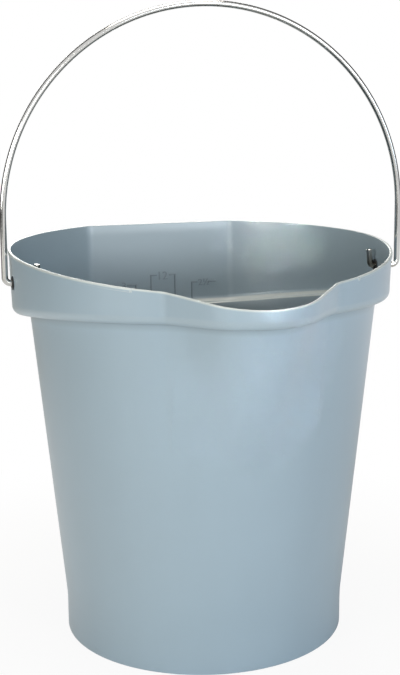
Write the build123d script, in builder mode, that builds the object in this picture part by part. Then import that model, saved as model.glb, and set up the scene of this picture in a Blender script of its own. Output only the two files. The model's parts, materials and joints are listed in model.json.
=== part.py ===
"""A moulded bucket with a flat back, a pouring spout and a wire bail.

The frame has its origin on the floor at the middle of the round foot. +Z is up, the spout points
to -Y, the flat back faces +Y, and the bail turns about a line along X. Sizes are in millimetres.
"""

import os
from math import asin, atan2, cos, hypot, radians, sin, sqrt, tan

from build123d import *

# Shell: overall sizes and walls; the rim's circle lies a little behind the middle of the foot
rim_height = 312.0
rim_radius = 151.7
rim_setback = 4.1
flat_cut = 14.5
flat_corner_radius = 20.0
wall = 2.4
rim_fillet = 0.8

# Shell: the foot, with its recess, and the tapered body above it
foot_height = 26.8
foot_recess = 8.0
foot_ring_width = 5.0
foot_fillet = 1.2
floor_thickness = 3.0
floor_fillet = 6.0
body_draft = 5.8
flat_foot_gap = 0.3

# Shell: the band, which steps out from the body along a curve that sinks towards the back
band_step = 10.6
band_step_side = 13.6
band_draft = 2.0
band_depth_front = 34.6
band_depth_side = 49.2
band_depth_back = 77.2
band_fillet = 8.0

# Shell: the pouring spout, and the bulge that carries it down the body
spout_length = 34.3
spout_root_half_width = 65.8
spout_nose_radius = 53.6
spout_root_radius = 18.0
spout_drop = 19.6
rim_fall_start = 49.2
bulge_length = 118.0
bulge_nose_inset = 12.0
bulge_root_inset = 10.8
bulge_sink = 1.0

# Bushes round the wire, one in each side of the band
pivot_drop = 23.3
bush_bore_clearance = 0.3
bush_wall = 1.4
bush_hole_clearance = 0.05
bush_flange_width = 1.2
bush_nose_length = 1.0
bush_nose_wall = 0.9
bush_lip_length = 0.8
bush_lip_height = 0.8
bush_lip_clearance = 0.3
bush_seat_depth = 0.6
bush_seat_clearance = 0.3

# Bail: one bent wire, pushed to one side as far as its side play lets it go
wire_radius = 2.5
bail_side_play = 5.8
bail_rest_gap = 0.2
bail_straight = 48.2
bail_outer_bend = 4.6
bail_inner_bend = 3.0
bail_hook_gap = 0.3
bail_hook_length = 13.6
bail_hook_lean = 5.0

# Heights and reaches that follow from the sizes above
band_slope = tan(radians(band_draft))
body_slope = tan(radians(body_draft))
ledge_front = rim_height - band_depth_front
ledge_side = rim_height - band_depth_side
ledge_back = rim_height - band_depth_back
inner_floor = foot_recess + floor_thickness
spout_reach = rim_radius - rim_setback + spout_length
back_flat = rim_radius + rim_setback - flat_cut
body_side_radius = rim_radius - band_depth_side * band_slope - band_step_side
body_back_flat = back_flat - band_depth_back * band_slope - band_step
body_front_reach = spout_reach - band_depth_front * band_slope - band_step
foot_radius = body_side_radius - (ledge_side - foot_height) * body_slope
bulge_foot = ledge_front - bulge_length
clear_size = rim_height + spout_reach

# Places of the pivot, the bushes and the wire, measured along X from the middle
pivot_height = rim_height - pivot_drop
band_face = sqrt((rim_radius - pivot_drop * band_slope) ** 2 - rim_setback**2)
bush_seat = band_face - bush_seat_depth
bush_nose = bush_seat + bush_nose_length
bush_inner_face = band_face - wall - bush_lip_clearance
bush_end = bush_inner_face - bush_lip_length
bush_bore_radius = wire_radius + bush_bore_clearance
bush_barrel_radius = bush_bore_radius + bush_wall
bush_flange_radius = bush_barrel_radius + bush_flange_width
bail_radius = bush_nose + bail_side_play + bail_outer_bend
bail_shift = bail_side_play - bail_rest_gap
hook_bend_run = bail_inner_bend * tan(radians(90 + bail_hook_lean) / 2)
hook_corner = bush_end - bail_hook_gap - hook_bend_run - bail_shift


def body_radius(height: float) -> float:
    """Outside radius of the tapered body at a height above the floor."""
    return foot_radius + body_slope * (height - foot_height)


def nose_apex(root: float, root_depth: float, reach: float, radius: float) -> float:
    """Depth where the flanks of a round nose would meet, each straight from its root to the nose."""
    ahead = reach - radius - root_depth
    lean = atan2(root, ahead) - asin(radius / hypot(root, ahead))
    return root_depth + root / tan(lean)


def band_outline(inset: float) -> Sketch:
    """Plan of the band at the rim: a circle with a round-nosed spout at the front and a flat back."""
    root = spout_root_half_width
    root_depth = sqrt(rim_radius**2 - root**2) - rim_setback
    apex = nose_apex(root, root_depth, spout_reach, spout_nose_radius)
    rear = rim_radius + rim_setback
    with BuildSketch(mode=Mode.PRIVATE) as plan:
        with BuildLine():
            back = ThreePointArc((root, -root_depth), (0, rear), (-root, -root_depth))
            Polyline(back @ 1, (0, -apex), back @ 0)
        make_face()
        fillet(plan.vertices().group_by(Axis.Y)[1], spout_root_radius)
        fillet(plan.vertices().group_by(Axis.Y)[0], spout_nose_radius)
        with Locations((0, back_flat)):
            Rectangle(2 * rim_radius, flat_cut, align=(Align.CENTER, Align.MIN), mode=Mode.SUBTRACT)
        fillet(plan.vertices().group_by(Axis.Y)[-1], flat_corner_radius)
        offset(amount=-inset)
    return plan.sketch


def side_cut(*curve: Edge) -> Part:
    """Everything under a curve in the YZ plane, which runs from the back to the front."""
    with BuildPart(mode=Mode.PRIVATE) as block:
        with BuildSketch(Plane.YZ):
            with BuildLine():
                add(curve)
                start, end = curve[0] @ 0, curve[-1] @ 1
                low = -clear_size
                Polyline(start, (clear_size, start.Y), (clear_size, low), (low, low), (low, end.Y), end)
            make_face()
        extrude(amount=clear_size, both=True)
    return block.part


def below_ledge(lift: float) -> Part:
    """Everything under the curve that the band's lower edge follows, lifted by an amount."""
    back, side, front = ledge_back + lift, ledge_side + lift, ledge_front + lift
    return side_cut(Edge.make_three_point_arc((back_flat, back), (0, side), (-spout_reach, front)))


def below_rim() -> Part:
    """Everything under the rim, which is level at the back and curves down to the spout's lip."""
    level = Edge.make_line((back_flat, rim_height), (rim_fall_start, rim_height))
    lip = (-spout_reach, rim_height - spout_drop)
    return side_cut(level, Edge.make_tangent_arc(level @ 1, level % 1, lip))


def bulge_section(radius: float, reach: float, inset: float) -> Sketch:
    """Plan of the bulge where the body has a given radius: a round nose rooted inside the body."""
    nose = spout_nose_radius - bulge_nose_inset - inset
    root = spout_root_half_width - bulge_root_inset - inset
    root_depth = sqrt((radius - bulge_sink - inset) ** 2 - root**2)
    apex = nose_apex(root, root_depth, reach - inset, nose)
    with BuildSketch(mode=Mode.PRIVATE) as plan:
        with BuildLine():
            Polyline((-root, -root_depth), (0, -apex), (root, -root_depth), close=True)
        make_face()
        fillet(plan.vertices().group_by(Axis.Y)[0], nose)
    return plan.sketch


def body_form(inset: float, bottom: float, corner: float) -> Part:
    """The body from a bottom height up: a round foot, a taper, a flat back and the spout's bulge."""
    foot = foot_radius - inset
    top = body_radius(rim_height) - inset
    foot_reach = body_radius(bulge_foot) - bulge_sink
    top_reach = foot_reach + (body_front_reach - foot_reach) * (rim_height - bulge_foot) / bulge_length
    flat_lean = (body_back_flat - foot_radius - flat_foot_gap) / ledge_back
    flat_start = foot_radius + flat_foot_gap - inset
    with BuildPart(mode=Mode.PRIVATE) as form:
        with BuildSketch(Plane.XZ) as profile:
            with BuildLine():
                Polyline((0, bottom), (foot, bottom), (foot, foot_height), (top, rim_height))
                Polyline((top, rim_height), (0, rim_height), (0, bottom))
            make_face()
            fillet(profile.vertices().group_by(Axis.Y)[0].sort_by(Axis.X)[-1], corner)
        revolve(axis=Axis.Z)
        with BuildSketch(Plane.XY.offset(bulge_foot)):
            add(bulge_section(body_radius(bulge_foot), foot_reach, inset))
        with BuildSketch(Plane.XY.offset(rim_height)):
            add(bulge_section(body_radius(rim_height), top_reach, inset))
        loft(ruled=True)
        with BuildSketch(Plane.YZ):
            with BuildLine():
                flat = Line((flat_start, 0), (flat_start + flat_lean * rim_height, rim_height))
                Polyline(flat @ 1, (clear_size, rim_height), (clear_size, 0), flat @ 0)
            make_face()
        extrude(amount=clear_size, both=True, mode=Mode.SUBTRACT)
    return form.part


def band_form(inset: float, lift: float) -> Part:
    """The band above its rounded lower edge, drawn in towards the floor by its draft."""
    with BuildPart(mode=Mode.PRIVATE) as form:
        with BuildSketch(Plane.XY.offset(rim_height + wall)):
            add(band_outline(inset - wall * band_slope))
        extrude(amount=-wall - band_depth_back - band_step, taper=band_draft)
        add(below_ledge(lift), mode=Mode.SUBTRACT)
        fillet(form.faces().sort_by(Axis.Z)[0].outer_wire().edges(), band_fillet - inset)
    return form.part


# Bucket shell: the body up to the ledge and the band above it, hollowed out and trimmed at the rim
with BuildPart() as bucket_shell:
    add(band_form(0, 0))
    add(body_form(0, 0, foot_fillet) & below_ledge(wall))
    add(below_rim(), mode=Mode.INTERSECT)
    add(body_form(wall, inner_floor, floor_fillet), mode=Mode.SUBTRACT)
    add(band_form(wall, wall), mode=Mode.SUBTRACT)
    level_rim, lip_rim = bucket_shell.faces().sort_by(Axis.Z)[:-3:-1]
    shared = level_rim.edges() & lip_rim.edges()
    fillet((level_rim.edges() + lip_rim.edges()).filter_by(lambda e: e not in shared), rim_fillet)
    with BuildSketch():
        Circle(foot_radius - foot_ring_width)
    extrude(amount=foot_recess, mode=Mode.SUBTRACT)
    with BuildSketch(Plane.YZ):
        with Locations((0, pivot_height)):
            Circle(bush_barrel_radius + bush_hole_clearance)
    extrude(amount=rim_radius, both=True, mode=Mode.SUBTRACT)
    for side in (1, -1):
        with BuildSketch(Plane.YZ.offset(side * bush_seat)):
            with Locations((0, pivot_height)):
                Circle(bush_flange_radius + bush_seat_clearance)
        extrude(amount=side * bush_nose_length, mode=Mode.SUBTRACT)
bucket_shell.part.label = "bucket_shell"


def bail_side(side: int) -> list:
    """Corner points of one side of the wire, from the tip of its hook to the foot of the arch."""
    lean = radians(bail_hook_lean)
    tip = hook_corner - bail_hook_length * sin(lean)
    points = [
        (tip, pivot_height + bail_hook_length * cos(lean)),
        (hook_corner, pivot_height),
        (bail_radius, pivot_height),
        (bail_radius, pivot_height + bail_straight),
    ]
    return [(bail_shift + side * x, z) for x, z in points]


# Bail: hook, pivot, leg and half circle, drawn as one wire from tip to tip
with BuildPart() as bail_handle:
    with BuildLine(Plane.XZ) as wire:
        bends = [bail_inner_bend, bail_outer_bend]
        right = FilletPolyline(*bail_side(1), radius=bends)
        left = FilletPolyline(*bail_side(-1), radius=bends)
        ThreePointArc(right @ 1, (bail_shift, pivot_height + bail_straight + bail_radius), left @ 1)
    with BuildSketch(Plane(right @ 0, z_dir=right % 0)):
        Circle(wire_radius)
    sweep(path=wire.wire())
bail_handle.part.label = "bail_handle"


def bush(side: int) -> Part:
    """A bush with a tapered nose outside the band, a barrel through it and a lip inside."""
    profile = [
        (bush_end, bush_bore_radius),
        (bush_end, bush_barrel_radius + bush_lip_height),
        (bush_inner_face, bush_barrel_radius + bush_lip_height),
        (bush_inner_face, bush_barrel_radius),
        (bush_seat, bush_barrel_radius),
        (bush_seat, bush_flange_radius),
        (bush_nose, bush_bore_radius + bush_nose_wall),
        (bush_nose, bush_bore_radius),
    ]
    with BuildPart(mode=Mode.PRIVATE) as piece:
        with BuildSketch(Plane.XZ):
            with BuildLine():
                Polyline(*((side * x, pivot_height + r) for x, r in profile), close=True)
            make_face()
        revolve(axis=Axis((0, 0, pivot_height), (1, 0, 0)))
    return piece.part


with BuildPart() as left_bush:
    add(bush(-1))
left_bush.part.label = "left_bush"

with BuildPart() as right_bush:
    add(bush(1))
right_bush.part.label = "right_bush"

os.makedirs("parts", exist_ok=True)
for piece in (bucket_shell, bail_handle, left_bush, right_bush):
    export_step(piece.part, f"parts/{piece.part.label}.step")
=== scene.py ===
"""Looks of a moulded bucket with a flat back, a pouring spout and a bent wire bail.

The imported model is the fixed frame: +Z is up from the floor, the spout points to -Y, the flat back
faces +Y and the bail turns about a line along X. Sizes of the pieces are in millimetres until a mesh
is made; the studio and the finishes are in metres.
"""

import json
import logging
import math
from dataclasses import dataclass
from enum import Enum
from typing import Optional, Sequence

import bpy
import numpy as np
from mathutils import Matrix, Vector

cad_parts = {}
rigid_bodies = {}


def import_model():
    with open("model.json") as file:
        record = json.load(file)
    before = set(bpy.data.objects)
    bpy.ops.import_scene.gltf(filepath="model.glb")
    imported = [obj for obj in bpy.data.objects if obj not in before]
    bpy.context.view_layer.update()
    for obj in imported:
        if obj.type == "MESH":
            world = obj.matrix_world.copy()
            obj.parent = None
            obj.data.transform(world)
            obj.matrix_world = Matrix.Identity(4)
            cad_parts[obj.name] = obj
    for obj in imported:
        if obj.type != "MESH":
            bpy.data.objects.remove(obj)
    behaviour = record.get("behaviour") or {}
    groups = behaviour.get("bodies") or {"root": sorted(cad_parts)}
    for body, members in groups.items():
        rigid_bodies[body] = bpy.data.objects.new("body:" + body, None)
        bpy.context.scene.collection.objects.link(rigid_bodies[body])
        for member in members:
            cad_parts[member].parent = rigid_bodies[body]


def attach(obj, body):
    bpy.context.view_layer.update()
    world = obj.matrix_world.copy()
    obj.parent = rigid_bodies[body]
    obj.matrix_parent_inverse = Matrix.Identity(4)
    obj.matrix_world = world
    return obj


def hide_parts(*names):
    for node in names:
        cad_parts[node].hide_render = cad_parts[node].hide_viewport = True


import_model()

MM = 0.001
AXIS_RADIUS = 0.01
WHITE = (1.0, 1.0, 1.0, 1.0)
Array = np.ndarray
Triple = tuple[float, float, float]
Colour = Triple

log = logging.getLogger("bucket")


class Body(Enum):
    """The two bodies that pieces ride on."""

    BUCKET = "bucket"
    BAIL = "bail"


class Side(Enum):
    """The two sides of the bucket that the wire passes through, as signs along X."""

    LEFT = -1
    RIGHT = 1


class Signal:
    """A number that varies over a surface. Arithmetic on it adds Math nodes."""

    def __init__(self, graph: "Graph", socket: bpy.types.NodeSocket) -> None:
        """Keep the output socket and the graph that it belongs to."""
        self.graph = graph
        self.socket = socket

    def _math(self, operation: str, *terms: "Signal | float") -> "Signal":
        """Add a Math node over the terms."""
        return self.graph.node("ShaderNodeMath", {"operation": operation}, dict(enumerate(terms)))

    def __add__(self, other: "Signal | float") -> "Signal":
        """Sum."""
        return self._math("ADD", self, other)

    def __radd__(self, other: float) -> "Signal":
        """Sum with a number on the left."""
        return self._math("ADD", other, self)

    def __sub__(self, other: "Signal | float") -> "Signal":
        """Difference."""
        return self._math("SUBTRACT", self, other)

    def __rsub__(self, other: float) -> "Signal":
        """Difference from a number."""
        return self._math("SUBTRACT", other, self)

    def __mul__(self, other: "Signal | float") -> "Signal":
        """Product."""
        return self._math("MULTIPLY", self, other)

    def __rmul__(self, other: float) -> "Signal":
        """Product with a number on the left."""
        return self._math("MULTIPLY", other, self)

    def ease(self, low: float, high: float) -> "Signal":
        """Go smoothly from 0 at low to 1 at high."""
        inputs = {0: self, 1: low, 2: high, 3: 0.0, 4: 1.0}
        return self.graph.node("ShaderNodeMapRange", {"interpolation_type": "SMOOTHSTEP"}, inputs)

    def at_least(self, other: "Signal | float") -> "Signal":
        """The larger of the two."""
        return self._math("MAXIMUM", self, other)


class Graph:
    """The node tree of one material or of the world."""

    def __init__(self, tree: bpy.types.NodeTree) -> None:
        """Start from an empty tree."""
        self.tree = tree
        tree.nodes.clear()

    def node(self, kind: str, settings: Optional[dict] = None, inputs: Optional[dict] = None,
             output: int | str = 0) -> Signal:
        """Add one node.

        Args:
            kind: Blender's name of the node's type.
            settings: Properties of the node, set first.
            inputs: Values or links of its sockets, by name or number.
            output: The socket to return.

        Returns:
            The chosen output.
        """
        item = self.tree.nodes.new(kind)
        for name, value in (settings or {}).items():
            setattr(item, name, value)
        for key, value in (inputs or {}).items():
            if isinstance(value, Signal):
                self.tree.links.new(value.socket, item.inputs[key])
            else:
                item.inputs[key].default_value = value
        return Signal(self, item.outputs[output] if item.outputs else None)

    def place(self) -> Signal:
        """Object coordinates, in metres."""
        return self.node("ShaderNodeTexCoord", output="Object")

    def mark(self, name: str, output: str = "Fac") -> Signal:
        """A value that the mesh carries at its points."""
        return self.node("ShaderNodeAttribute", {"attribute_name": name}, output=output)

    def rays(self, *kinds: str) -> list[Signal]:
        """Whether a ray is of each of the kinds."""
        return [self.node("ShaderNodeLightPath", output=kind) for kind in kinds]

    def stretched(self, vector: Signal, scale: Triple) -> Signal:
        """A vector scaled along each axis."""
        return self.node("ShaderNodeVectorMath", {"operation": "MULTIPLY"}, {0: vector, 1: scale})

    def along(self, vector: Signal, direction: Triple) -> Signal:
        """How far a vector reaches in a direction."""
        inputs = {0: vector, 1: direction}
        return self.node("ShaderNodeVectorMath", {"operation": "DOT_PRODUCT"}, inputs, output="Value")

    def noise(self, vector: Signal, scale: float, detail: float = 3.0, rough: float = 0.5) -> Signal:
        """Soft noise between 0 and 1.

        Args:
            vector: Where to read it.
            scale: Waves a unit of the vector.
            detail: Octaves.
            rough: Weight of the finer octaves.

        Returns:
            The noise.
        """
        inputs = {"Vector": vector, "Scale": scale, "Detail": detail, "Roughness": rough}
        return self.node("ShaderNodeTexNoise", {}, inputs)

    def blend(self, factor: Signal, first: "Signal | Colour", second: "Signal | Colour") -> Signal:
        """Mix two colours.

        Args:
            factor: Share of the second.
            first: One colour.
            second: The other.

        Returns:
            The mixed colour.
        """
        ends = [c if isinstance(c, Signal) else (*c, 1.0) for c in (first, second)]
        inputs = {0: factor, 6: ends[0], 7: ends[1]}
        return self.node("ShaderNodeMix", {"data_type": "RGBA"}, inputs, output=2)

    def bump(self, height: Signal, depth: float) -> Signal:
        """A normal from a height between 0 and 1, with its depth in metres."""
        return self.node("ShaderNodeBump", {}, {"Strength": 1.0, "Distance": depth, "Height": height})

    def surface(self, **inputs: "Signal | float | tuple") -> None:
        """End a material in one Principled shader.

        Args:
            inputs: Values or links of its sockets; underscores in their names stand for spaces.
        """
        values = {name.replace("_", " "): value for name, value in inputs.items()}
        shader = self.node("ShaderNodeBsdfPrincipled", {}, values)
        self.node("ShaderNodeOutputMaterial", {}, {"Surface": shader})


def new_material(name: str) -> tuple[bpy.types.Material, Graph]:
    """Make an empty material.

    Args:
        name: Its name.

    Returns:
        The material and its graph.
    """
    material = bpy.data.materials.new(name)
    material.use_nodes = True
    return material, Graph(material.node_tree)


def scaled(colour: Colour, factor: float) -> Colour:
    """A darker or paler version of a colour."""
    return tuple(factor * c for c in colour)


@dataclass(frozen=True)
class SatinPlastic:
    """Moulded polypropylene with a fine satin grain, pale painted highlights on edges and painted shade."""

    name: str = "satin_polypropylene"
    colour: Colour = (0.318, 0.418, 0.497)
    dust_and_highlight_colour: Colour = (0.70, 0.71, 0.65)
    shade_colour: Colour = (0.08, 0.10, 0.11)
    inside_shade_colour: Colour = (0.24, 0.27, 0.27)
    highlight_share: float = 0.55
    shade_share: float = 0.7
    inside_shade_share: float = 0.36
    dust_share: float = 0.10
    roughness: float = 0.42
    ior: float = 1.49
    coat: float = 0.35
    coat_roughness: float = 0.2
    cloud_scale: float = 14.0
    dust_scale: float = 22.0
    grain_scale: float = 1400.0
    grain_depth: float = 0.000012
    flow_scale: Triple = (42.0, 42.0, 3.0)
    scuff_scale: Triple = (260.0, 260.0, 900.0)

    def material(self) -> bpy.types.Material:
        """Build the shader.

        Returns:
            The material.
        """
        material, g = new_material(self.name)
        place = g.place()
        cloud = g.noise(place, self.cloud_scale, 4.0)
        flow = g.noise(g.stretched(place, self.flow_scale), 1.0)
        grain = g.noise(place, self.grain_scale, 2.0)
        scuff = g.noise(g.stretched(place, self.scuff_scale), 1.0).ease(0.66, 0.78)
        dust = scuff * g.noise(place, self.dust_scale).ease(0.5, 0.72)
        drift = 0.6 * cloud + 0.4 * flow
        # Painted shade: the inside is dulled toward a darker grey.
        inside_shade = g.mark("painted_inside_shade") * (self.inside_shade_share + 0.16 * (cloud - 0.5))
        base = g.blend(drift, scaled(self.colour, 0.94), scaled(self.colour, 1.06))
        base = g.blend(inside_shade, base, self.inside_shade_colour)
        base = g.blend(dust * self.dust_share, base, self.dust_and_highlight_colour)
        # Painted highlights: pale lines along the rim, the ledge, the band's lower turn and the bead.
        base = g.blend(g.mark("edge") * self.highlight_share, base, self.dust_and_highlight_colour)
        # Painted shade: dark under the band and on the scale's marks.
        base = g.blend(g.mark("painted_shade") * self.shade_share, base, self.shade_colour)
        tone = 0.97 + 0.06 * drift
        rough = self.roughness * tone + 0.04 * (grain - 0.5) + 0.12 * dust
        fine = g.bump(0.7 * grain + 0.3 * scuff, self.grain_depth)
        g.surface(Base_Color=base, Roughness=rough, Normal=fine, IOR=self.ior, Specular_IOR_Level=1.0,
                  Coat_Weight=self.coat, Coat_Roughness=self.coat_roughness)
        return material


@dataclass(frozen=True)
class DrawnSteel:
    """Bright drawn stainless wire with fine lines along its length."""

    name: str = "drawn_stainless"
    colour: Colour = (0.60, 0.595, 0.58)
    tarnish_colour: Colour = (0.20, 0.18, 0.15)
    roughness: float = 0.11
    line_scale: Triple = (9.0, 9.0, 6.0)
    line_depth: float = 0.00002
    blotch_scale: Triple = (0.6, 0.6, 40.0)

    def material(self) -> bpy.types.Material:
        """Build the shader.

        Returns:
            The material.
        """
        material, g = new_material(self.name)
        lay = g.mark("lay", "Vector")
        lines = g.noise(g.stretched(lay, self.line_scale), 1.0, 4.0, 0.6)
        blotch = g.noise(g.stretched(lay, self.blotch_scale), 1.0)
        tarnish = g.mark("tarnish")
        base = g.blend(blotch, scaled(self.colour, 0.92), scaled(self.colour, 1.06))
        base = g.blend(tarnish * (0.75 + 0.4 * blotch), base, self.tarnish_colour)
        rough = self.roughness + 0.10 * (lines - 0.5) + 0.08 * (blotch - 0.5) + 0.16 * tarnish
        fine = g.bump(lines, self.line_depth)
        g.surface(Base_Color=base, Metallic=1.0, Roughness=rough, Normal=fine)
        return material


@dataclass(frozen=True)
class MattBlack:
    """Matt black moulded plastic of the bushes."""

    name: str = "matt_black_plastic"
    colour: Colour = (0.012, 0.012, 0.013)
    worn_colour: Colour = (0.045, 0.045, 0.045)
    worn_share: float = 0.5
    roughness: float = 0.55
    grain_scale: float = 1800.0
    grain_depth: float = 0.00004
    rub_scale: float = 300.0

    def material(self) -> bpy.types.Material:
        """Build the shader.

        Returns:
            The material.
        """
        material, g = new_material(self.name)
        place = g.place()
        grain = g.noise(place, self.grain_scale, 2.0)
        rub = g.noise(place, self.rub_scale).ease(0.55, 0.75)
        base = g.blend(rub * self.worn_share, self.colour, self.worn_colour)
        rough = self.roughness + 0.14 * (grain - 0.5)
        g.surface(Base_Color=base, Roughness=rough, Normal=g.bump(grain, self.grain_depth))
        return material


def unit(vectors: Array) -> Array:
    """Vectors of length 1 along the last axis."""
    return vectors / np.maximum(np.linalg.norm(vectors, axis=-1, keepdims=True), 1e-9)


def smooth_step(values: Array, low: float, high: float) -> Array:
    """Go smoothly from 0 at low to 1 at high."""
    t = np.clip((values - low) / (high - low), 0.0, 1.0)
    return t * t * (3.0 - 2.0 * t)


def soft_min(first: Array, second: Array, width: Array | float) -> Array:
    """The smaller of two, with the crease between them rounded over a width."""
    h = np.maximum(width - np.abs(first - second), 0.0) / width
    return np.minimum(first, second) - h * h * width * 0.25


def rounded(before: Array, corner: Array, after: Array, radius: float, steps: int,
            share: float = 0.47) -> list[Array]:
    """Round one corner of many profiles with an arc.

    Args:
        before: Points on the way to the corner, one a column.
        corner: The corner of each column.
        after: Points on the way on.
        radius: Radius of the arc, less where the runs are too short.
        steps: Points along the arc.
        share: Part of the shorter run that the arc may take up.

    Returns:
        The arc's points, a row at a time.
    """
    back, ahead = unit(before - corner), unit(after - corner)
    half = 0.5 * np.arccos(np.clip((back * ahead).sum(-1, keepdims=True), -0.999999, 0.999999))
    room = np.minimum(np.linalg.norm(before - corner, axis=-1), np.linalg.norm(after - corner, axis=-1))
    run = np.minimum(radius / np.tan(half), share * room[:, None])
    middle = corner + unit(back + ahead) * run / np.cos(half)
    start, end = corner + back * run - middle, corner + ahead * run - middle
    sweep = np.pi - 2.0 * half
    rows = []
    for t in np.linspace(0.0, 1.0, steps):
        rows.append(middle + (np.sin((1 - t) * sweep) * start + np.sin(t * sweep) * end) / np.sin(sweep))
    return rows


def between(first: Array, last: Array, count: int) -> list[Array]:
    """Rows strictly between two rows, evenly spaced."""
    return [first + (last - first) * (i + 1) / (count + 1) for i in range(count)]


def new_piece(name: str, points: Array, faces: Sequence[Sequence[int]],
              sharp: float = 30.0) -> bpy.types.Object:
    """Make a mesh object from points in millimetres.

    Args:
        name: Name of the piece.
        points: Its points.
        faces: Its faces as lists of point numbers.
        sharp: Angle in degrees above which an edge stays crisp.

    Returns:
        The object, in the scene.
    """
    mesh = bpy.data.meshes.new(name)
    mesh.from_pydata((points * MM).tolist(), [], [list(f) for f in faces])
    mesh.validate()
    mesh.shade_smooth()
    mesh.set_sharp_from_angle(angle=math.radians(sharp))
    piece = bpy.data.objects.new(name, mesh)
    bpy.context.scene.collection.objects.link(piece)
    return piece


def store(mesh: bpy.types.Mesh, name: str, values: Array) -> None:
    """Keep a number or a vector at each point of a mesh for its shader."""
    kind, key = ("FLOAT", "value") if values.ndim == 1 else ("FLOAT_VECTOR", "vector")
    mesh.attributes.new(name, kind, "POINT").data.foreach_set(key, values.astype(np.float32).ravel())


def dress(piece: bpy.types.Object, finish: bpy.types.Material, body: Body, slot: str, *nodes: str) -> None:
    """Give a piece its finish and its place in the frame.

    Args:
        piece: The object.
        finish: Its material.
        body: The body that it rides on.
        slot: The record's slot for its finish; not used.
        nodes: CAD nodes that it stands for.
    """
    piece.data.materials.clear()
    piece.data.materials.append(finish)
    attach(piece, body.value)
    if nodes:
        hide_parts(*nodes)
    log.info("%s: %d faces on %s", piece.name, len(piece.data.polygons), body.value)


def ring_faces(columns: int, rows: int) -> list[tuple[int, int, int, int]]:
    """List the quads of a grid that closes round its columns.

    Args:
        columns: Points in a row.
        rows: Number of rows.

    Returns:
        The faces as point numbers, row after row.
    """
    faces = []
    for r in range(rows - 1):
        for c in range(columns):
            d = (c + 1) % columns
            faces.append((r * columns + c, r * columns + d, (r + 1) * columns + d, (r + 1) * columns + c))
    return faces


def flank_lean(root: Array | float, ahead: Array | float, radius: float) -> Array | float:
    """Angle to -Y of a nose's straight flank.

    Args:
        root: Half width where the flanks start.
        ahead: How far the nose's middle is in front of the roots.
        radius: Radius of the nose.

    Returns:
        The angle in radians.
    """
    return np.arctan2(root, ahead) - np.arcsin(radius / np.hypot(root, ahead))


@dataclass
class Pivot:
    """The line that the bail turns about, and the stepped hole for a bush in each side."""

    height: float = 288.7
    hole_radius: float = 4.25
    seat_radius: float = 5.7
    seat_depth: float = 150.23
    cut_start: float = 132.0
    cut_end: float = 154.0
    round_count: int = 40


@dataclass
class BandPlan:
    """Plan of the band at the rim: a circle with a round-nosed spout at the front and a flat back.

    The bead ends at an angle in degrees from the spout, and bead_ease is half of what its step takes.
    The columns are finer within fine_step of that end.
    """

    radius: float = 151.7
    setback: float = 4.1
    flat: float = 141.3
    flat_corner: float = 20.0
    reach: float = 181.9
    nose: float = 53.6
    root: float = 65.8
    root_corner: float = 18.0
    bead_end: float = 34.3
    bead_ease: float = 0.12
    fine_step: float = 0.9
    nose_count: int = 36
    flank_count: int = 16
    root_count: int = 14
    fine_count: int = 8
    side_count: int = 180
    corner_count: int = 20
    flat_count: int = 30

    def _arc(self, centre: Array, radius: float, start: float, end: float, count: int,
             hollow: bool = False) -> tuple[Array, Array]:
        """Points and outward normals of an arc, without its last point.

        Args:
            centre: Centre of the arc.
            radius: Its radius.
            start: Angle of its first point in radians.
            end: Angle of its last point.
            count: Number of points.
            hollow: Whether the centre is outside the plan.

        Returns:
            The points and their normals.
        """
        angle = np.linspace(start, end, count + 1)[:-1]
        spoke = np.stack([np.cos(angle), np.sin(angle)], -1)
        return centre + radius * spoke, (-spoke if hollow else spoke)

    def _line(self, start: Array, end: Array, count: int) -> tuple[Array, Array]:
        """Points and outward normals of a straight run, without its last point.

        Args:
            start: Its first point.
            end: Its last point.
            count: Number of points.

        Returns:
            The points and their normals.
        """
        run = (end - start) / np.linalg.norm(end - start)
        points = start + (end - start) * np.arange(count)[:, None] / count
        return points, np.repeat([[run[1], -run[0]]], count, axis=0)

    def columns(self) -> tuple[Array, Array]:
        """Walk round the plan from the middle of the spout, past +X and the back.

        Returns:
            The points and their outward normals, one a column.
        """
        middle = np.array([0.0, self.setback])
        nose_mid = np.array([0.0, self.nose - self.reach])
        ahead = self.setback - math.sqrt(self.radius**2 - self.root**2) - nose_mid[1]
        lean = flank_lean(self.root, ahead, self.nose)
        run, out = np.array([math.sin(lean), math.cos(lean)]), np.array([math.cos(lean), -math.sin(lean)])
        lead = nose_mid + (self.nose + self.root_corner) * out
        aside = lead - middle
        b, c = aside @ run, aside @ aside - (self.radius + self.root_corner) ** 2
        root_mid = lead + run * (-b - math.sqrt(b * b - c))
        back_y = self.flat - self.flat_corner - self.setback
        back_mid = middle + (math.sqrt((self.radius - self.flat_corner) ** 2 - back_y**2), back_y)
        flank = math.atan2(out[1], out[0])
        hollow = math.atan2(-out[1], -out[0])
        start = math.atan2(*(root_mid - middle)[::-1])
        stop = math.radians(self.bead_end - 90.0)
        back = math.atan2(*(back_mid - middle)[::-1])
        step = self.fine_step / self.radius
        runs = [
            self._arc(nose_mid, self.nose, -math.pi / 2, flank, self.nose_count),
            self._line(nose_mid + self.nose * out, root_mid - self.root_corner * out, self.flank_count),
            self._arc(root_mid, self.root_corner, hollow, start + math.pi, self.root_count, hollow=True),
            self._arc(middle, self.radius, start, stop - step, self.fine_count),
            self._arc(middle, self.radius, stop - step, stop + step, self.fine_count),
            self._arc(middle, self.radius, stop + step, back, self.side_count),
            self._arc(back_mid, self.flat_corner, back, math.pi / 2, self.corner_count),
            self._line(np.array([back_mid[0], self.flat]), np.array([0.0, self.flat]), self.flat_count),
        ]
        points = np.concatenate([r[0] for r in runs])
        normals = np.concatenate([r[1] for r in runs])
        mirror = np.array([-1.0, 1.0])
        tail = np.array([[0.0, self.flat]]), np.array([[0.0, 1.0]])
        points = np.concatenate([points, tail[0], points[:0:-1] * mirror])
        normals = np.concatenate([normals, tail[1], normals[:0:-1] * mirror])
        return points, normals


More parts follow.
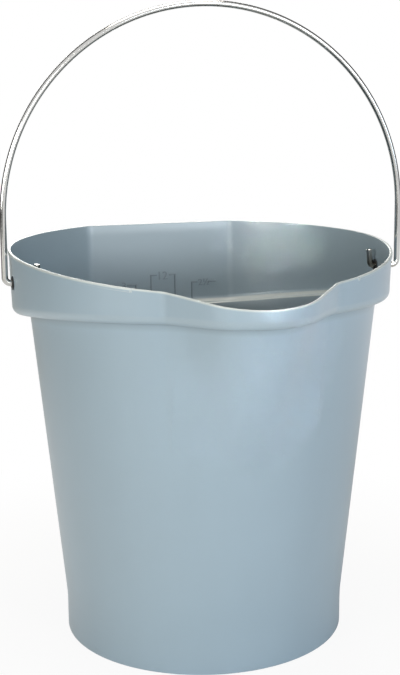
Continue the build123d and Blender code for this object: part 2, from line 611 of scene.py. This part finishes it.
@dataclass(frozen=True)
class ShellRows:
    """How many rows of points each stretch of the moulding's profile has, from the foot to the floor."""

    recess_corner: int = 4
    foot_corner: int = 6
    body: int = 56
    under_band: int = 5
    band_turn: int = 12
    band: int = 6
    bead: int = 2
    rim_turn: int = 5
    ledge: int = 10
    ledge_corner: int = 6
    inside: int = 44
    floor_turn: int = 7


@dataclass(frozen=True)
class ShellPaintedLight:
    """How strongly places of the moulding get painted highlights or painted shade, from 0 to 1.

    The painted highlight along the bead fades over a number of degrees from its end, which shows as a short
    tick.
    """

    # Painted highlights: rim, band_turn, ledge, bead and bead_end; painted shade: under_band.
    rim: float = 1.0
    band_turn: float = 0.12
    ledge: float = 0.9
    bead: float = 0.8
    bead_end: float = 0.9
    under_band: float = 0.4
    bead_fade: float = 22.0
    tick: float = 0.3


@dataclass
class BucketShell:
    """The one-piece moulding: foot, tapered body, flat back, band, spout and rim bead.

    Fields that end in run say how far from a corner the point lies that gives its side's direction.
    """

    plan: BandPlan
    pivot: Pivot
    rows: ShellRows = ShellRows()
    painted: ShellPaintedLight = ShellPaintedLight()
    rim_height: float = 312.0
    wall: float = 2.4
    foot_radius: float = 112.41
    foot_height: float = 26.8
    foot_round: float = 1.2
    foot_blend: float = 4.0
    ring_width: float = 5.0
    ring_round: float = 0.6
    recess: float = 8.0
    recess_round: float = 1.5
    recess_rings: tuple[float, ...] = (3.0, 20.0, 45.0, 70.0, 92.0, 101.0)
    floor: float = 11.0
    floor_round: float = 6.0
    floor_run: float = 30.0
    floor_rings: tuple[float, ...] = (95.0, 75.0, 50.0, 25.0, 3.0)
    body_slope: float = 0.10158
    body_run: float = 14.0
    body_margin: float = 6.0
    inside_margin: float = 8.0
    inside_foot: float = 24.0
    flat_start: float = 112.71
    flat_lean: float = 0.06514
    flat_crease: float = 3.0
    band_slope: float = 0.03492
    band_round: float = 8.0
    band_share: float = 0.8
    band_run: float = 18.0
    band_inner_run: float = 12.0
    ledge_back: float = 234.8
    ledge_side: float = 262.8
    ledge_front: float = 277.4
    ledge_round: float = 1.6
    spout_drop: float = 19.6
    rim_fall: float = 49.2
    rim_round: float = 0.9
    rim_inner_round: float = 0.8
    rim_run: float = 6.0
    bulge_foot: float = 159.4
    bulge_reach: float = 124.88
    bulge_rise: float = 0.38316
    bulge_nose: float = 41.6
    bulge_root: float = 55.0
    bulge_sink: float = 1.0
    bulge_dive: float = 0.8
    bulge_least: float = 2.0
    bulge_crease: tuple[float, float] = (0.3, 6.0)
    bead_height: float = 3.0
    bead_step: float = 0.7
    bead_gaps: tuple[float, ...] = (0.35, 0.1, 0.0)
    bead_lifts: tuple[float, float] = (0.12, 0.3)
    bead_face: tuple[float, float] = (0.4, 1.4)
    sharp: float = 40.0

    def __post_init__(self) -> None:
        """Work out the columns and the arc that the band's lower edge follows."""
        self.points, self.normals = self.plan.columns()
        self.spoke = unit(self.points)
        round_spoke = unit(self.points - (0.0, self.plan.setback))
        self.angle = np.degrees(np.arccos(np.clip(-round_spoke[:, 1], -1, 1)))
        end, ease = self.plan.bead_end, self.plan.bead_ease
        self.bead = smooth_step(self.angle, end - ease, end + ease)
        ends = [(self.plan.flat, self.ledge_back), (0.0, self.ledge_side),
                (-self.plan.reach, self.ledge_front)]
        rows = np.array([[2 * y, 2 * z, 1.0] for y, z in ends])
        mid_y, mid_z, rest = np.linalg.solve(rows, [y * y + z * z for y, z in ends])
        self.ledge_centre = (mid_y, mid_z, math.sqrt(rest + mid_y**2 + mid_z**2))

    def ledge(self, y: Array) -> Array:
        """Height of the band's lower edge."""
        mid_y, mid_z, radius = self.ledge_centre
        side = 1.0 if self.ledge_side > mid_z else -1.0
        return mid_z + side * np.sqrt(np.maximum(radius**2 - (y - mid_y) ** 2, 0.0))

    def rim(self, y: Array) -> Array:
        """Height of the rim, level at the back and curving down to the lip."""
        arc = ((self.plan.reach + self.rim_fall) ** 2 + self.spout_drop**2) / (2 * self.spout_drop)
        return self.rim_height - arc + np.sqrt(arc**2 - np.minimum(y - self.rim_fall, 0.0) ** 2)

    def bulge_radius(self, spoke: Array, cone: Array, reach: Array) -> Array:
        """Radius of the swelling under the spout, a round nose between two straight flanks.

        Args:
            spoke: Unit vectors from the axis.
            cone: Radius of the tapered body along each spoke.
            reach: How far the swelling comes forward, one a spoke.

        Returns:
            The radii, 0 where there is no swelling.
        """
        sunk = cone - self.bulge_sink
        depth = np.sqrt(np.maximum(sunk**2 - self.bulge_root**2, 1.0))
        middle, across = reach - self.bulge_nose, np.abs(spoke[:, 0])
        lean = flank_lean(self.bulge_root, middle - depth, self.bulge_nose)
        nose = np.sqrt(np.maximum(self.bulge_nose**2 - (middle * across) ** 2, 0.0)) - middle * spoke[:, 1]
        along = across * np.cos(lean) - spoke[:, 1] * np.sin(lean)
        flank = (middle * np.sin(lean) + self.bulge_nose) / np.maximum(along, 0.05)
        tangent = self.bulge_nose * np.cos(lean), middle + self.bulge_nose * np.sin(lean)
        bulge = np.where(-spoke[:, 1] * tangent[0] > across * tangent[1], nose, flank)
        # Past its roots the swelling dives under the body, so that only the soft crease shows.
        beyond = across * sunk - self.bulge_root
        bulge = np.where(beyond > 0.0, sunk - self.bulge_dive * beyond, bulge)
        return np.where((spoke[:, 1] < 0.0) & (reach > depth + self.bulge_least), bulge, 0.0)

    def body_radius(self, spoke: Array, z: Array) -> Array:
        """Outside radius of the body along each spoke at given heights.

        Args:
            spoke: Unit vectors from the axis.
            z: Heights, one a spoke.

        Returns:
            The radii.
        """
        rise = z - self.foot_height
        cone = self.foot_radius + self.body_slope * 0.5 * (rise + np.sqrt(rise * rise + self.foot_blend**2))
        flat = (self.flat_start + self.flat_lean * z) / np.maximum(spoke[:, 1], 1e-3)
        body = soft_min(cone, flat, self.flat_crease)
        reach = self.bulge_reach + self.bulge_rise * (z - self.bulge_foot)
        bulge = self.bulge_radius(spoke, cone, reach)
        return -soft_min(-body, -bulge, np.clip(0.5 * (reach - cone), *self.bulge_crease))

    def on_body(self, z: Array, inset: float = 0.0) -> Array:
        """Points of the body at given heights, one a column."""
        return np.column_stack([self.spoke * (self.body_radius(self.spoke, z) - inset)[:, None], z])

    def on_band(self, z: Array, inset: Array | float = 0.0) -> Array:
        """Points of the band at given heights, one a column."""
        depth = (self.rim_height - z) * self.band_slope + inset
        return np.column_stack([self.points - self.normals * depth[:, None], z])

    def on_ring(self, radius: float, z: float) -> Array:
        """A level ring round the axis, one point a column."""
        return np.column_stack([self.spoke * radius, np.full(len(self.spoke), z)])

    def ledge_corners(self, inset: float, lift: float) -> tuple[Array, Array]:
        """Where the ledge leaves the body and where it meets the band.

        Args:
            inset: Distance inside the outer surface.
            lift: Height over the band's lower edge.

        Returns:
            The inner and the outer corners, one a column.
        """
        inner_z = outer_z = np.full(len(self.spoke), self.ledge_side)
        for _ in range(6):
            inner_z = self.ledge(self.on_body(inner_z, inset)[:, 1]) + lift
            outer_z = self.ledge(self.on_band(outer_z, inset)[:, 1]) + lift
        return self.on_body(inner_z, inset), self.on_band(outer_z, inset)

    def outside(self) -> list[Array]:
        """Walk from the middle of the underside up to the foot of the band.

        Returns:
            The rows, the last ones round the band's lower edge.
        """
        ring, foot, count = self.foot_radius - self.ring_width, self.foot_radius, self.rows
        roof, lip, tread = (self.on_ring(*spot) for spot in ((ring, self.recess), (ring, 0.0), (foot, 0.0)))
        rows = [self.on_ring(r, self.recess) for r in self.recess_rings]
        rows += rounded(rows[-1], roof, lip, self.recess_round, count.recess_corner)
        rows += rounded(roof, lip, tread, self.ring_round, count.recess_corner)
        rows += rounded(lip, tread, self.on_ring(foot, self.foot_height), self.foot_round, count.foot_corner)
        inner, outer = self.ledge_corners(0.0, 0.0)
        outer = outer - np.column_stack([self.normals * self.bead_step, np.zeros(len(self.spoke))])
        low, top = self.body_margin, inner[:, 2] - self.body_margin
        rows += [self.on_body(low + (top - low) * t) for t in np.linspace(0.0, 1.0, count.body)]
        rows += rounded(rows[-1], inner, outer, self.ledge_round, count.under_band)
        above = self.on_band(outer[:, 2] + self.band_run, self.bead_step)
        rows += rounded(inner, outer, above, self.band_round, count.band_turn, self.band_share)
        return rows

    def over_rim(self, below: Array) -> list[Array]:
        """Walk up the band, round the bead and over the rim.

        Args:
            below: The last row of the outside.

        Returns:
            The rows, down to the inside edge of the rim.
        """
        count, top = self.rows, self.rim(self.points[:, 1])
        face = self.bead_step * np.ones(len(top))
        swell = self.bead_step * (1.0 - self.bead)
        foot = top - self.bead_height
        crest, inner = self.on_band(top, swell), self.on_band(top, self.wall)
        half, full = self.bead_lifts
        low, high = self.bead_face
        rows = between(below, self.on_band(foot, face), count.band)
        # Close rows keep the bead's lower edge crisp.
        rows += [self.on_band(foot - gap, face) for gap in self.bead_gaps]
        rows += [self.on_band(foot + half, 0.5 * (face + swell)), self.on_band(foot + full, swell)]
        rows += between(self.on_band(foot + low, swell), self.on_band(top - high, swell), count.bead)
        rows += rounded(self.on_band(foot, swell), crest, inner, self.rim_round, count.rim_turn)
        down = self.on_band(top - self.rim_run, self.wall)
        rows += rounded(crest, inner, down, self.rim_inner_round, count.rim_turn)
        return rows

    def inside(self, above: Array) -> list[Array]:
        """Walk from the rim down the inside to the middle of the floor.

        Args:
            above: The last row of the rim.

        Returns:
            The rows.
        """
        count, foot = self.rows, self.foot_radius - self.wall
        inner, outer = self.ledge_corners(self.wall, self.wall)
        rise = np.minimum(self.band_inner_run, self.band_share * (above[:, 2] - outer[:, 2]))
        rows = between(above, self.on_band(outer[:, 2] + rise, self.wall), count.band)
        turn = self.band_round - self.wall
        rows += rounded(rows[-1], outer, inner, turn, count.ledge, self.band_share)
        below = self.on_body(inner[:, 2] - self.body_run, self.wall)
        rows += rounded(outer, inner, below, self.ledge_round, count.ledge_corner)
        top, low = inner[:, 2] - self.inside_margin, self.inside_foot
        rows += [self.on_body(top + (low - top) * t, self.wall) for t in np.linspace(0.0, 1.0, count.inside)]
        corner, ahead = self.on_ring(foot, self.floor), self.on_ring(foot - self.floor_run, self.floor)
        rows += rounded(rows[-1], corner, ahead, self.floor_round, count.floor_turn)
        rows += [self.on_ring(r, self.floor) for r in self.floor_rings]
        return rows

    def painted_light_marks(self, start: int, stop: int, total: int) -> dict[str, Array]:
        """Find where painted highlights and painted shade go on the plastic.

        Args:
            start: The first row over the rim.
            stop: The first row of the inside.
            total: Number of rows.

        Returns:
            A value at each point, by the name that the finish reads.
        """
        count, painted = self.rows, self.painted
        edge, painted_shade, painted_inside_shade = np.zeros((3, total, len(self.spoke)))
        turn = start - count.band_turn
        bead = start + count.band + len(self.bead_gaps)
        inner_rim = stop - count.rim_turn
        ledge = stop + count.band
        corner = ledge + count.ledge
        # The outer rows of each turn get no painted highlight, so that it fades out over them.
        # Painted highlights: pale lines on the rim, the band's lower turn, the ledge's two roundings and the
        # bead.
        edge[inner_rim - count.rim_turn:inner_rim + 2] = painted.rim
        edge[turn + 2:start - 1] = painted.band_turn
        edge[ledge + 3:ledge + 7] = painted.ledge
        edge[corner + 1:corner + 5] = painted.ledge
        end = self.plan.bead_end
        edge[bead:bead + 2] = painted.bead * smooth_step(self.angle, end + painted.bead_fade, end) * self.bead
        edge[bead:inner_rim, np.abs(self.angle - end) < painted.tick] = painted.bead_end
        # Painted shade: a dark line along the body just under the band.
        painted_shade[turn - count.under_band:turn] = painted.under_band
        # Painted shade over the whole inside, from the rim down.
        painted_inside_shade[stop - 2:] = 1.0
        return {"edge": edge.ravel(), "painted_shade": painted_shade.ravel(), "painted_inside_shade": painted_inside_shade.ravel()}

    def build(self) -> bpy.types.Object:
        """Make the moulding with its two holes.

        Returns:
            The object.
        """
        rows = self.outside()
        start = len(rows)
        rows += self.over_rim(rows[-1])
        stop = len(rows)
        rows += self.inside(rows[-1])
        columns = len(self.spoke)
        faces: list[Sequence[int]] = list(ring_faces(columns, len(rows)))
        faces.append(list(range(columns))[::-1])
        last = (len(rows) - 1) * columns
        faces.append([last + c for c in range(columns)])
        piece = new_piece("bucket_moulding", np.concatenate(rows), faces, self.sharp)
        for name, values in self.painted_light_marks(start, stop, len(rows)).items():
            store(piece.data, name, values)
        for side in Side:
            self.drill(piece, side)
        piece.data.set_sharp_from_angle(angle=math.radians(self.sharp))
        return piece

    def drill(self, piece: bpy.types.Object, side: Side) -> None:
        """Cut the stepped hole for one bush.

        Args:
            piece: The moulding.
            side: Which side.
        """
        p = self.pivot
        profile = [(p.cut_start, AXIS_RADIUS), (p.cut_start, p.hole_radius), (p.seat_depth, p.hole_radius),
                   (p.seat_depth, p.seat_radius), (p.cut_end, p.seat_radius), (p.cut_end, AXIS_RADIUS)]
        cutter = turned("bush_hole", profile, side, p.height, p.round_count)
        modifier = piece.modifiers.new("hole", "BOOLEAN")
        modifier.operation, modifier.solver, modifier.object = "DIFFERENCE", "EXACT", cutter
        shaped = piece.evaluated_get(bpy.context.evaluated_depsgraph_get())
        mesh = bpy.data.meshes.new_from_object(shaped)
        piece.modifiers.clear()
        piece.data = mesh
        bpy.data.objects.remove(cutter)

    def back_face(self, z: Array) -> Array:
        """How far back the inside of the flat back is at given heights."""
        band = self.plan.flat - self.wall - (self.rim_height - z) * self.band_slope
        body = self.flat_start + self.flat_lean * z - self.wall
        return np.where(z > self.ledge_back + self.wall, band, body)

    def level(self, litres: float) -> float:
        """Height that a volume of water comes to.

        Args:
            litres: The volume.

        Returns:
            The height above the floor that the bucket stands on.
        """
        slab, litre = 0.5, 1e6
        heights = np.arange(self.floor, self.rim_height - self.spout_drop, slab)
        step = np.roll(self.spoke, -1, axis=0)
        turn = np.abs(self.spoke[:, 0] * step[:, 1] - self.spoke[:, 1] * step[:, 0])
        inner, outer = self.ledge_corners(self.wall, self.wall)
        areas = []
        for z in heights:
            here = np.full(len(self.spoke), z)
            body = self.body_radius(self.spoke, here) - self.wall
            band = np.linalg.norm(self.on_band(here, self.wall)[:, :2], axis=1)
            r = np.where(z > 0.5 * (inner[:, 2] + outer[:, 2]), band, body)
            areas.append(0.5 * (r * np.roll(r, -1) * turn).sum())
        volume = np.cumsum(areas) * slab / litre
        return float(np.interp(litres, volume, heights + slab))


def turned(name: str, profile: Sequence[tuple[float, float]], side: Side, height: float,
           count: int) -> bpy.types.Object:
    """Turn a profile about the pivot line into a closed mesh.

    Args:
        name: Name of the piece.
        profile: Distances along X and radii; one that starts at the axis gets flat ends.
        side: Which side of the bucket.
        height: Height of the pivot line.
        count: Points round.

    Returns:
        The object.
    """
    angle = np.linspace(0.0, 2 * np.pi, count, endpoint=False)
    rings = [np.column_stack([np.full(count, side.value * x), r * np.cos(angle), height + r * np.sin(angle)])
             for x, r in profile]
    faces: list[Sequence[int]] = list(ring_faces(count, len(profile)))
    last = (len(profile) - 1) * count
    if profile[0][1] <= AXIS_RADIUS:
        faces += [list(range(count))[::-1], [last + c for c in range(count)]]
    else:
        faces += [(last + c, last + (c + 1) % count, (c + 1) % count, c) for c in range(count)]
    if side is Side.RIGHT:
        faces = [tuple(f)[::-1] for f in faces]
    return new_piece(name, np.concatenate(rings), faces, sharp=35.0)


class Column(Enum):
    """The three columns of the scale: where the number, its marks and its uprights stand, along X."""

    LEFT = (-34.3, ((-30.7, -23.5),), (-23.5,))
    MIDDLE = (1.5, ((-9.5, -4.6), (7.6, 12.5)), (-9.5, 12.5))
    RIGHT = (39.0, ((28.1, 32.8), (44.2, 49.7)), (28.1,))

    def __init__(self, middle: float, runs: tuple[tuple[float, float], ...],
                 uprights: tuple[float, ...]) -> None:
        """Name the entries of a column.

        Args:
            middle: Middle of its number.
            runs: Ends of the marks beside the number.
            uprights: Places of its upright lines.
        """
        self.middle = middle
        self.runs = runs
        self.uprights = uprights


@dataclass
class LitreScale:
    """Raised numbers and marks on the inside of the flat back."""

    shell: BucketShell
    height: float = 0.8
    sunk: float = 0.25
    foot_width: float = 1.5
    crest_width: float = 0.8
    ledge_top: float = 244.0
    ledge_foot: float = 231.0
    gallons: float = 258.0
    top_litres: int = 12
    low_litres: tuple[int, ...] = (10, 8, 6)
    top_size: float = 7.2
    side_size: float = 6.0
    low_size: float = 5.0
    number_drop: float = 0.55
    foot_shade: float = 1.0
    crest_shade: float = 0.55

    def __post_init__(self) -> None:
        """Start with no strokes."""
        self.points: list[Array] = []
        self.faces: list[list[int]] = []

    def add(self, points: Array, faces: Sequence[Sequence[int]]) -> None:
        """Lay a form on the wall.

        Args:
            points: Its points as distance along X, height on the wall and height out of the wall.
            faces: Its faces as lists of point numbers.
        """
        start = sum(len(p) for p in self.points)
        x, z, lift = points.T
        self.points.append(np.column_stack([x, self.shell.back_face(z) - lift, z]))
        self.faces += [[start + i for i in face] for face in faces]

    def stroke(self, start: tuple[float, float], end: tuple[float, float]) -> None:
        """Raise one straight ridge with sloping sides.

        Args:
            start: Distance along X and height of one end.
            end: The same of the other end.
        """
        a, b = np.array(start), np.array(end)
        along = unit(b - a)
        aside = np.array([-along[1], along[0]])
        points = []
        for width, lift in ((self.foot_width, -self.sunk), (self.crest_width, self.height)):
            for spot, way in ((a, -along), (b, along)):
                for hand in ((1, -1) if spot is a else (-1, 1)):
                    points.append([*(spot + 0.5 * width * (way + hand * aside)), lift])
        faces = [(0, 3, 2, 1), (4, 5, 6, 7)] + [(i, (i + 1) % 4, 4 + (i + 1) % 4, 4 + i) for i in range(4)]
        self.add(np.array(points), faces)

    def number(self, words: str, x: float, z: float, height: float) -> None:
        """Raise one number in a plain type.

        Args:
            words: The number.
            x: Distance of its middle along X.
            z: Height of its foot.
            height: Its own height.
        """
        curve = bpy.data.curves.new("number", "FONT")
        curve.body, curve.extrude, curve.resolution_u = words, 0.01, 3
        letter = bpy.data.objects.new("number", curve)
        bpy.context.scene.collection.objects.link(letter)
        bpy.context.view_layer.update()
        mesh = bpy.data.meshes.new_from_object(letter.evaluated_get(bpy.context.evaluated_depsgraph_get()))
        flat = np.array([v.co[:] for v in mesh.vertices])
        faces = [list(f.vertices) for f in mesh.polygons]
        for block, owner in ((bpy.data.objects, letter), (bpy.data.curves, curve), (bpy.data.meshes, mesh)):
            block.remove(owner)
        low, high = flat.min(axis=0), flat.max(axis=0)
        size = height / (high[1] - low[1])
        across = x + (flat[:, 0] - 0.5 * (low[0] + high[0])) * size
        up = z + (flat[:, 1] - low[1]) * size
        lift = np.where(flat[:, 2] > 0.0, self.height, -self.sunk)
        self.add(np.column_stack([across, up, lift]), faces)

    def mark(self, column: Column, words: str, level: float, height: float) -> None:
        """Raise one number with its marks.

        Args:
            column: Where it stands.
            words: The number.
            level: Height of its marks.
            height: Height of the number.
        """
        self.number(words, column.middle, level - self.number_drop * height, height)
        for first, last in column.runs:
            self.stroke((first, level), (last, level))

    def build(self) -> bpy.types.Object:
        """Raise every number, mark and upright.

        Returns:
            The object.
        """
        top = self.shell.level(self.top_litres)
        self.mark(Column.MIDDLE, str(self.top_litres), top, self.top_size)
        self.mark(Column.LEFT, "3", self.gallons, self.side_size)
        self.mark(Column.RIGHT, "2½", self.gallons, self.side_size)
        for litres in self.low_litres:
            self.mark(Column.MIDDLE, str(litres), self.shell.level(litres), self.low_size)
        for column in Column:
            for x in column.uprights:
                self.stroke((x, self.ledge_top), (x, top if column is Column.MIDDLE else self.gallons))
        for x in Column.MIDDLE.uprights:
            self.stroke((x, self.shell.level(self.low_litres[-1])), (x, self.ledge_foot))
        points = np.concatenate(self.points)
        piece = new_piece("litre_scale", points, self.faces)
        crest = self.shell.back_face(points[:, 2]) - points[:, 1] > 0.0
        # Painted shade: the marks are darkened, most at their feet.
        store(piece.data, "painted_shade", np.where(crest, self.crest_shade, self.foot_shade))
        # Painted shade of the inside over the whole scale.
        store(piece.data, "painted_inside_shade", np.ones(len(points)))
        return piece


@dataclass
class Bush:
    """A black bush round the wire: a tapered nose outside the band and a lip inside."""

    side: Side
    pivot: Pivot
    bore: float = 2.8
    barrel: float = 4.2
    flange: float = 5.4
    flange_edge: float = 0.3
    lip: float = 5.0
    end: float = 147.33
    inner_face: float = 148.13
    seat: float = 150.23
    nose: float = 151.23
    nose_radius: float = 3.7
    corner_rows: int = 4
    round_count: int = 48

    def build(self) -> bpy.types.Object:
        """Turn the profile, with each corner rounded by its own radius.

        Returns:
            The object.
        """
        corners = [(self.end, self.bore, 0.2), (self.end, self.lip, 0.3), (self.inner_face, self.lip, 0.15),
                   (self.inner_face, self.barrel, 0.1), (self.seat, self.barrel, 0.1),
                   (self.seat, self.flange, 0.1), (self.seat + self.flange_edge, self.flange, 0.1),
                   (self.nose, self.nose_radius, 0.35), (self.nose, self.bore, 0.25)]
        spots = np.array([c[:2] for c in corners])
        profile: list[tuple[float, float]] = []
        for i, (_, _, radius) in enumerate(corners):
            near = spots[i - 1][None], spots[i][None], spots[(i + 1) % len(spots)][None]
            arc = rounded(*near, radius, self.corner_rows)
            profile += [(float(p[0, 0]), float(p[0, 1])) for p in arc]
        name = f"{self.side.name.lower()}_wire_bush"
        return turned(name, profile, self.side, self.pivot.height, self.round_count)


@dataclass
class WireBail:
    """One bent wire: hooks inside the band, legs outside it and a half circle over the top."""

    pivot: Pivot
    radius: float = 2.5
    chamfer: float = 0.35
    arch: float = 161.63
    shift: float = 5.6
    leg: float = 48.2
    outer_bend: float = 4.6
    inner_bend: float = 3.0
    corner: float = 138.16
    hook: float = 13.6
    lean: float = 5.0
    tarnish_fade: float = 12.0
    bright_tip: float = 0.5
    inner_count: int = 10
    outer_count: int = 14
    arch_count: int = 182
    round_count: int = 28

    def half_path(self) -> list[tuple[float, float]]:
        """Walk one side of the wire.

        Returns:
            X and Z from the tip of the hook to the foot of the arch, before the side shift.
        """
        lean, z = math.radians(self.lean), self.pivot.height
        tip = (self.corner - self.hook * math.sin(lean), z + self.hook * math.cos(lean))
        spots = [np.array([s]) for s in (tip, (self.corner, z), (self.arch, z), (self.arch, z + self.leg))]
        path = [spots[0]] + rounded(spots[0], spots[1], spots[2], self.inner_bend, self.inner_count)
        path += rounded(spots[1], spots[2], spots[3], self.outer_bend, self.outer_count) + [spots[3]]
        return [(float(p[0, 0]), float(p[0, 1])) for p in path]

    def path(self) -> Array:
        """Walk the whole wire.

        Returns:
            X and Z of its middle line, from tip to tip.
        """
        right = self.half_path()
        angle = np.linspace(0.0, np.pi, self.arch_count)[1:-1]
        crown = self.pivot.height + self.leg
        arch = [(self.arch * math.cos(a), crown + self.arch * math.sin(a)) for a in angle]
        return np.array(right + arch + [(-x, z) for x, z in right[::-1]]) + (self.shift, 0.0)

    def build(self) -> bpy.types.Object:
        """Sweep the round section along the path, with cut ends.

        Returns:
            The object.
        """
        path = self.path()
        ahead = unit(np.gradient(path, axis=0))
        ahead[0], ahead[-1] = unit(path[1] - path[0]), unit(path[-1] - path[-2])
        length = np.concatenate([[0.0], np.cumsum(np.linalg.norm(np.diff(path, axis=0), axis=1))])
        angle = np.linspace(0.0, 2 * np.pi, self.round_count, endpoint=False)
        end, small = len(path) - 1, self.radius - self.chamfer
        stations = [(0, 0.0, small), (0, self.chamfer, self.radius)]
        stations += [(i, 0.0, self.radius) for i in range(1, end)]
        stations += [(end, -self.chamfer, self.radius), (end, 0.0, small)]
        rings, lay = [], []
        for i, move, r in stations:
            x, z = path[i] + ahead[i] * move
            across = np.array([-ahead[i][1], ahead[i][0]])
            rings.append(np.column_stack([x + r * np.cos(angle) * across[0], r * np.sin(angle),
                                          z + r * np.cos(angle) * across[1]]))
            lay.append(np.column_stack([np.cos(angle), np.sin(angle), np.full(len(angle), length[i] * MM)]))
        faces: list[Sequence[int]] = [f[::-1] for f in ring_faces(self.round_count, len(stations))]
        faces.append(list(range(self.round_count)))
        last = (len(stations) - 1) * self.round_count
        faces.append([last + c for c in range(self.round_count)][::-1])
        piece = new_piece("bent_wire_bail", np.concatenate(rings), faces)
        store(piece.data, "lay", np.concatenate(lay))
        spot = np.repeat([length[i] for i, _, _ in stations], self.round_count)
        from_tip = np.minimum(spot, length[-1] - spot)
        hooked = 1.0 - smooth_step(from_tip, self.hook, self.hook + self.tarnish_fade)
        store(piece.data, "tarnish", hooked * smooth_step(from_tip, 0.0, self.bright_tip))
        return piece


class Tint(Enum):
    """Colours of the lamps."""

    WARM = (1.0, 0.95, 0.86)
    PLAIN = (1.0, 1.0, 0.94)
    COOL = (0.84, 0.92, 1.0)
    BLUE = (0.62, 0.82, 1.0)


@dataclass(frozen=True)
class Lamp:
    """A soft rectangular lamp, in metres and watts, with the angle of its beam in degrees."""

    name: str
    place: Triple
    size: tuple[float, float]
    power: float
    tint: Tint
    aim: Triple = (0.0, 0.0, 0.2)
    beam: float = 180.0

    def hang(self) -> None:
        """Put the lamp in the scene, facing its aim."""
        data = bpy.data.lights.new(self.name, "AREA")
        data.shape, data.size, data.size_y = "RECTANGLE", self.size[0], self.size[1]
        data.energy, data.color, data.spread = self.power, self.tint.value, math.radians(self.beam)
        lamp = bpy.data.objects.new(self.name, data)
        lamp.location = self.place
        lamp.rotation_euler = (Vector(self.aim) - Vector(self.place)).to_track_quat("-Z", "Y").to_euler()
        bpy.context.scene.collection.objects.link(lamp)


@dataclass
class Studio:
    """Pale floor, soft lamps, white surroundings and the camera."""

    eye: Triple = (-0.28325, -1.02136, 0.46384)
    tilt: float = 78.963
    turn: float = -17.120
    lens: float = 71.996
    sensor: float = 36.0
    shift: tuple[float, float] = (-0.05946, -0.03712)
    far_side: Triple = (0.294, 0.956, 0.0)
    right_side: Triple = (0.956, -0.294, 0.0)
    floor_half: float = 6000.0
    floor_colour: Colour = (0.86, 0.86, 0.86)
    dark_share: float = 0.9
    lamps: tuple[Lamp, ...] = (
        Lamp("overhead", (0.0, 0.0, 2.2), (1.2, 1.2), 27.0, Tint.WARM),
        Lamp("front", (-0.35, -2.4, 0.55), (0.7, 0.4), 13.0, Tint.PLAIN),
        Lamp("front_right", (0.90, -2.2, 0.65), (0.7, 0.6), 17.5, Tint.COOL),
        Lamp("right", (1.6, -1.5, 0.6), (0.7, 0.5), 3.0, Tint.BLUE),
        Lamp("left", (-2.0, -1.2, 0.75), (0.5, 1.0), 18.5, Tint.PLAIN),
        Lamp("inner", (-0.955, -1.065, 1.355), (0.06, 0.06), 0.016, Tint.PLAIN, (0.096, 0.117, 0.325), 3.1),
        Lamp("spout", (0.70, -1.7, 1.25), (0.08, 0.08), 0.014, Tint.COOL, (0.022, -0.17, 0.272), 3.2),
        Lamp("behind", (0.3, 2.4, 0.8), (1.2, 0.8), 16.0, Tint.PLAIN),
    )

    def camera(self) -> None:
        """Put the camera where the photograph was taken from."""
        data = bpy.data.cameras.new("camera")
        data.lens, data.sensor_width, data.sensor_fit = self.lens, self.sensor, "AUTO"
        data.shift_x, data.shift_y = self.shift
        camera = bpy.data.objects.new("camera", data)
        camera.location = self.eye
        camera.rotation_euler = (math.radians(self.tilt), 0.0, math.radians(self.turn))
        bpy.context.scene.collection.objects.link(camera)
        bpy.context.scene.camera = camera

    def floor(self) -> None:
        """Lay a pale floor that looks white, still takes the shadow and has a soft sheen in mirrors."""
        material, g = new_material("pale_floor")
        seen, mirrored = g.rays("Is Camera Ray", "Is Glossy Ray")
        place = g.place()
        away = g.node("ShaderNodeVectorMath", {"operation": "LENGTH"}, {0: place}, output="Value")
        aside = g.along(place, self.right_side).ease(-0.3, 0.3)
        # On the left the sheen lies near the foot, on the right far from it.
        near = 0.6 - 0.6 * away.ease(0.45, 0.9)
        far = 0.85 * away.ease(0.35, 1.1)
        gleam = near + aside * (far - near)
        clear = seen * (0.92 + 0.08 * away.ease(0.2, 0.45)) + mirrored * gleam
        matt = g.node("ShaderNodeBsdfDiffuse", {}, {"Color": (*self.floor_colour, 1.0)})
        white = g.node("ShaderNodeEmission", {}, {"Color": WHITE, "Strength": 1.0})
        both = g.node("ShaderNodeMixShader", {}, {0: clear, 1: matt, 2: white})
        g.node("ShaderNodeOutputMaterial", {}, {"Surface": both})
        half = self.floor_half
        points = np.array([(-half, -half, 0.0), (half, -half, 0.0), (half, half, 0.0), (-half, half, 0.0)])
        floor = new_piece("floor", points, [(0, 1, 2, 3)])
        floor.data.materials.append(material)

    def world(self) -> None:
        """White surroundings, with a dark far side in what the wire mirrors; the lamps give the light."""
        world = bpy.data.worlds.new("studio")
        world.use_nodes = True
        bpy.context.scene.world = world
        g = Graph(world.node_tree)
        seen, mirrored, through = g.rays("Is Camera Ray", "Is Glossy Ray", "Is Transmission Ray")
        far = g.along(g.node("ShaderNodeTexCoord", output="Generated"), self.far_side)
        shade = self.dark_share * far.ease(-0.45, 0.05) - self.dark_share * far.ease(0.86, 0.97)
        white = seen.at_least(through).at_least(mirrored * (1.0 - shade))
        sky = g.node("ShaderNodeBackground", {}, {"Color": WHITE, "Strength": white})
        g.node("ShaderNodeOutputWorld", {}, {"Surface": sky})

    def set_up(self) -> None:
        """Put everything round the object in place."""
        bpy.context.scene.view_settings.view_transform = "Standard"
        self.camera()
        self.floor()
        self.world()
        for lamp in self.lamps:
            lamp.hang()


def main() -> None:
    """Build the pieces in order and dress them."""
    logging.basicConfig(level=logging.INFO, format="%(message)s")
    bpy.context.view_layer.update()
    Studio().set_up()
    pivot = Pivot()
    plastic = SatinPlastic().material()
    shell = BucketShell(BandPlan(), pivot)
    dress(shell.build(), plastic, Body.BUCKET, "shell_plastic", "bucket_shell")
    dress(LitreScale(shell).build(), plastic, Body.BUCKET, "shell_plastic")
    black = MattBlack().material()
    for side in Side:
        node = f"{side.name.lower()}_bush"
        dress(Bush(side, pivot).build(), black, Body.BUCKET, "bush_plastic", node)
    dress(WireBail(pivot).build(), DrawnSteel().material(), Body.BAIL, "bail_wire", "bail_handle")


if __name__ == "__main__":
    main()
